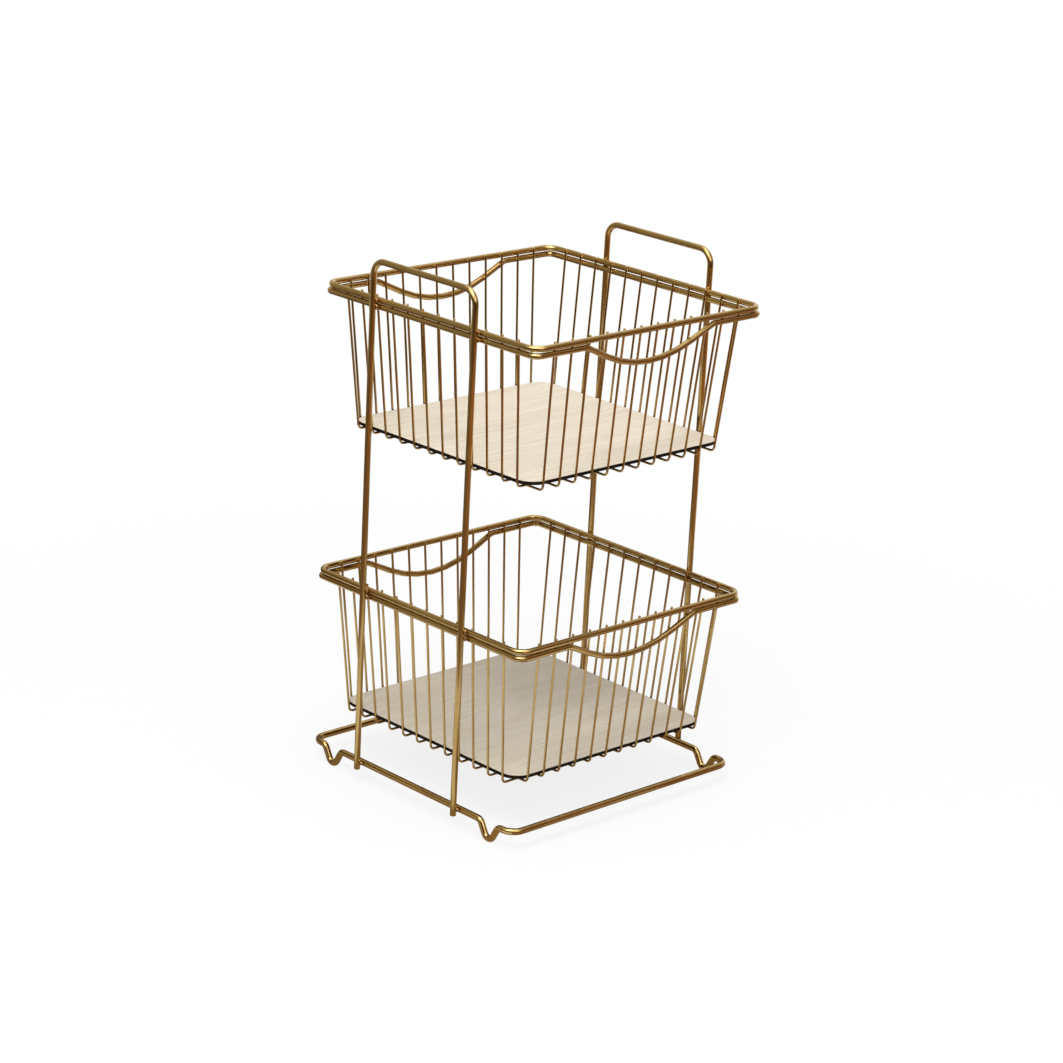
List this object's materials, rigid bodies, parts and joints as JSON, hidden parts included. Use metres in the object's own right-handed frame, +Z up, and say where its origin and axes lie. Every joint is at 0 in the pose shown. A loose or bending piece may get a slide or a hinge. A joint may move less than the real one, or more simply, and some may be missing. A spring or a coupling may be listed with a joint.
{
  "type": "tiered wire basket",
  "caption": "Free-standing wire basket with two square tiers under side hoops that form carrying grips, each tier with a loose board in its floor.",
  "frame": {"origin": "centre of the footprint, at the level of the table under the feet", "axes": "+Z up; +X across, towards the right-hand carrying hoop; +Y towards the back, a side whose rim has a scoop"},
  "size_m": [0.2832, 0.273, 0.4807],
  "materials": {
    "frame_wire": "antique gold plating, satin",
    "basket_wire": "antique gold plating, satin",
    "board": "pale veneer with a dark cut edge"
  },
  "bodies": {
    "wire_frame": {"base_ring": "frame_wire", "left_hoop": "frame_wire", "right_hoop": "frame_wire", "upper_top_rim": "frame_wire", "upper_scoop_rim": "frame_wire", "lower_top_rim": "frame_wire", "lower_scoop_rim": "frame_wire", "upper_cross_wire_01": "basket_wire", "upper_cross_wire_02": "basket_wire", "upper_cross_wire_03": "basket_wire", "upper_cross_wire_04": "basket_wire", "upper_cross_wire_05": "basket_wire", "upper_cross_wire_06": "basket_wire", "upper_cross_wire_07": "basket_wire", "upper_cross_wire_08": "basket_wire", "upper_cross_wire_09": "basket_wire", "upper_cross_wire_10": "basket_wire", "upper_cross_wire_11": "basket_wire", "upper_cross_wire_12": "basket_wire", "upper_long_wire_01": "basket_wire", "upper_long_wire_02": "basket_wire", "upper_long_wire_03": "basket_wire", "upper_long_wire_04": "basket_wire", "upper_long_wire_05": "basket_wire", "upper_long_wire_06": "basket_wire", "upper_long_wire_07": "basket_wire", "upper_long_wire_08": "basket_wire", "upper_long_wire_09": "basket_wire", "upper_long_wire_10": "basket_wire", "upper_long_wire_11": "basket_wire", "upper_long_wire_12": "basket_wire", "lower_cross_wire_01": "basket_wire", "lower_cross_wire_02": "basket_wire", "lower_cross_wire_03": "basket_wire", "lower_cross_wire_04": "basket_wire", "lower_cross_wire_05": "basket_wire", "lower_cross_wire_06": "basket_wire", "lower_cross_wire_07": "basket_wire", "lower_cross_wire_08": "basket_wire", "lower_cross_wire_09": "basket_wire", "lower_cross_wire_10": "basket_wire", "lower_cross_wire_11": "basket_wire", "lower_cross_wire_12": "basket_wire", "lower_long_wire_01": "basket_wire", "lower_long_wire_02": "basket_wire", "lower_long_wire_03": "basket_wire", "lower_long_wire_04": "basket_wire", "lower_long_wire_05": "basket_wire", "lower_long_wire_06": "basket_wire", "lower_long_wire_07": "basket_wire", "lower_long_wire_08": "basket_wire", "lower_long_wire_09": "basket_wire", "lower_long_wire_10": "basket_wire", "lower_long_wire_11": "basket_wire", "lower_long_wire_12": "basket_wire"},
    "upper_board": {"upper_board": "board"},
    "lower_board": {"lower_board": "board"}
  },
  "joints": [
    {"name": "upper_board_lift", "type": "slide", "parent": "wire_frame", "child": "upper_board", "axis": [0, 0, 1], "range_m": [0, 0.2]},
    {"name": "lower_board_lift", "type": "slide", "parent": "wire_frame", "child": "lower_board", "axis": [0, 0, 1], "range_m": [0, 0.2]}
  ]
}
